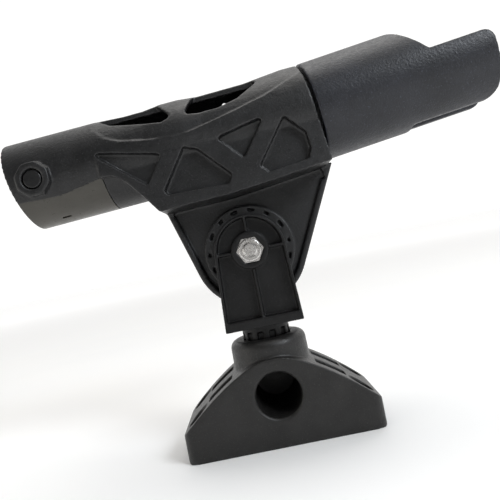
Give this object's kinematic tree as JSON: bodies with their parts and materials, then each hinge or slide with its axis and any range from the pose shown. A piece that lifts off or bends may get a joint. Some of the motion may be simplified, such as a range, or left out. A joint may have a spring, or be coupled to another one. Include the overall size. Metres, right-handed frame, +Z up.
{
  "type": "rod holder",
  "caption": "Tilting tube-and-cradle fishing rod holder on a swivelling yoke and a half-moon deck or side mount.",
  "frame": {"origin": "on the deck face, under the middle of the deck mount, on the swivel's axis", "axes": "+Z up along the swivel's axis, +X towards the front of the cradle, +Y towards the clamp knob"},
  "size_m": [0.2733, 0.0723, 0.2239],
  "materials": {
    "nylon": "fine moulded texture",
    "smooth_nylon": "satin moulded",
    "stainless": "bright stainless",
    "spring_steel": "plain",
    "rubber": "matte"
  },
  "bodies": {
    "deck_mount": {"deck_mount_body": "nylon", "deck_screws": "stainless"},
    "yoke": {"yoke_arm": "nylon", "hub_nut": "stainless", "knob_washer": "stainless"},
    "knob": {"clamp_knob": "nylon", "clamp_bolt": "stainless"},
    "holder": {"cradle_body": "nylon", "liner_tube": "smooth_nylon", "button_spring": "spring_steel", "button_rivet": "stainless", "friction_ring": "rubber", "sleeve_retainer": "spring_steel"},
    "sleeve": {"cradle_sleeve": "nylon"},
    "button": {"snap_button": "smooth_nylon"}
  },
  "joints": [
    {"name": "base_swivel", "type": "hinge", "parent": "deck_mount", "child": "yoke", "pos_m": [0, 0, 0.0525], "axis": [0, 0, 1], "continuous": true},
    {"name": "tube_tilt", "type": "hinge", "parent": "yoke", "child": "holder", "pos_m": [0, 0, 0.106], "axis": [0, 1, 0], "range_deg": [-48, 48]},
    {"name": "knob_turn", "type": "hinge", "parent": "yoke", "child": "knob", "pos_m": [0, 0.03, 0.106], "axis": [0, 1, 0], "continuous": true},
    {"name": "sleeve_turn", "type": "hinge", "parent": "holder", "child": "sleeve", "pos_m": [0.0591, 0, 0.17724], "axis": [0.9912, 0, 0.1323], "range_deg": [-90, 90]},
    {"name": "button_press", "type": "slide", "parent": "holder", "child": "button", "axis": [0, 1, 0], "range_m": [0, 0.0026], "stiffness_N_per_m": 900, "springref_m": -0.001, "deforming": ["button_spring"]}
  ]
}
